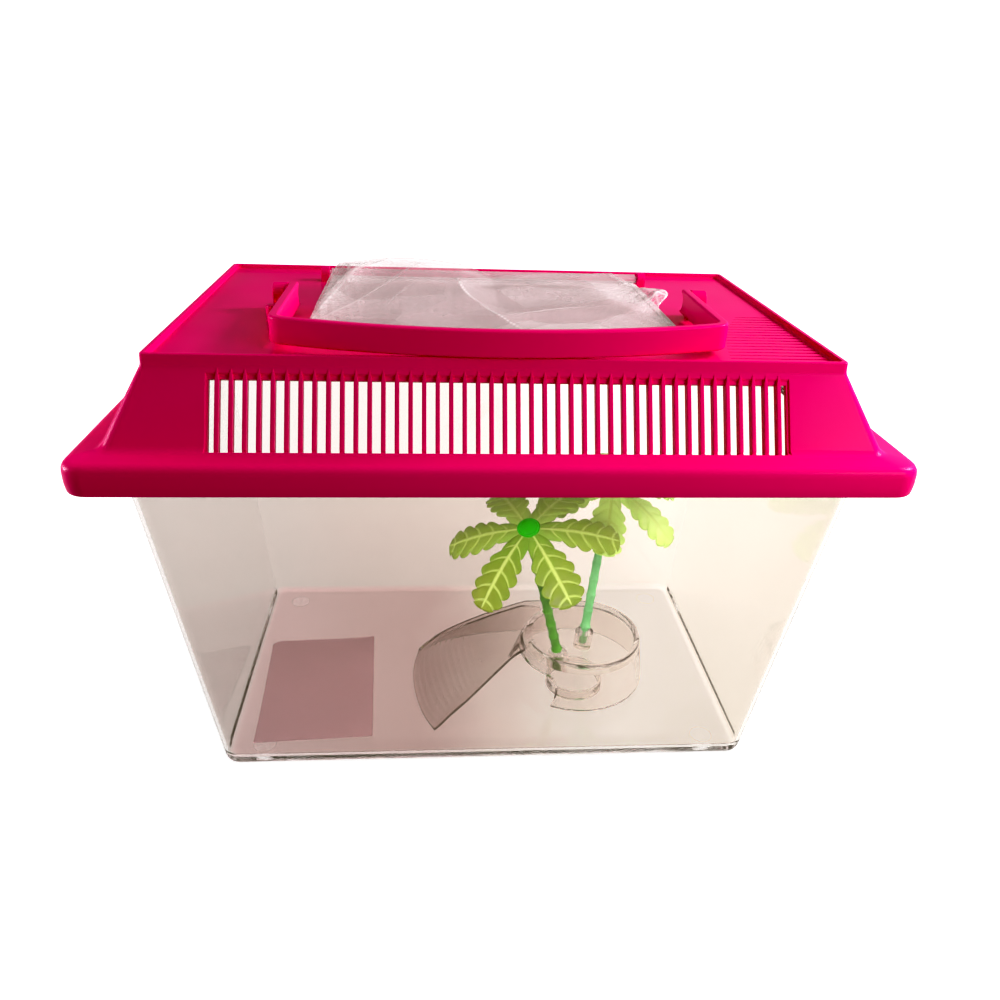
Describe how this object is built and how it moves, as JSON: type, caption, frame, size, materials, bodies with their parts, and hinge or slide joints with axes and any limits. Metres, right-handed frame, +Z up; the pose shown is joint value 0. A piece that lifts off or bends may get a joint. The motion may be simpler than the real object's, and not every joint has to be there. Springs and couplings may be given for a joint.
{
  "type": "plastic pet keeper",
  "caption": "Clear drafted pet keeper tank with a vented carry lid, folding bail handle, flip-up feeding hatch, clear ramp island and push-in palm trees.",
  "frame": {"origin": "centre of the tank's footprint on the surface it stands on", "axes": "+X along the tank's length to the right, +Y from the front to the back, +Z up"},
  "size_m": [0.293, 0.2, 0.1956],
  "materials": {
    "tank_clear": "clear moulded styrene, high gloss",
    "lid_pink": "hot pink moulded plastic, glossy",
    "hatch_clear": "clear moulded styrene",
    "film_clear": "thin creased clear film",
    "island_clear": "clear moulded styrene",
    "trunk_green": "satin green soft plastic",
    "frond_green": "satin yellow-green soft plastic",
    "card_paper": "uncoated plain card"
  },
  "bodies": {
    "tank": {"tank": "tank_clear"},
    "lid": {"lid": "lid_pink"},
    "handle": {"handle": "lid_pink"},
    "hatch": {"hatch_door": "hatch_clear", "hatch_film": "film_clear"},
    "island": {"island": "island_clear"},
    "palm_front": {"palm_trunk_front": "trunk_green", "palm_crown_front": "frond_green"},
    "palm_rear": {"palm_trunk_rear": "trunk_green", "palm_crown_rear": "frond_green"},
    "card": {"care_card": "card_paper"}
  },
  "joints": [
    {"name": "lid_lift", "type": "slide", "parent": "tank", "child": "lid", "axis": [0, 0, 1], "range_m": [0, 0.1]},
    {"name": "handle_fold", "type": "hinge", "parent": "lid", "child": "handle", "pos_m": [0, -0.008, 0.1908], "axis": [-1, 0, 0], "range_deg": [0, 120]},
    {"name": "hatch_open", "type": "hinge", "parent": "lid", "child": "hatch", "pos_m": [0, 0.051, 0.187], "axis": [-1, 0, 0], "range_deg": [0, 95]},
    {"name": "island_lift", "type": "slide", "parent": "tank", "child": "island", "axis": [0, 0, 1], "range_m": [0, 0.04]},
    {"name": "palm_front_pull", "type": "slide", "parent": "island", "child": "palm_front", "axis": [-0.2396, -0.2147, 0.9468], "range_m": [0, 0.012]},
    {"name": "palm_rear_pull", "type": "slide", "parent": "island", "child": "palm_rear", "axis": [0.1182, 0.1771, 0.9771], "range_m": [0, 0.012]},
    {"name": "card_lift", "type": "slide", "parent": "tank", "child": "card", "axis": [0, 0, 1], "range_m": [0, 0.05]}
  ]
}
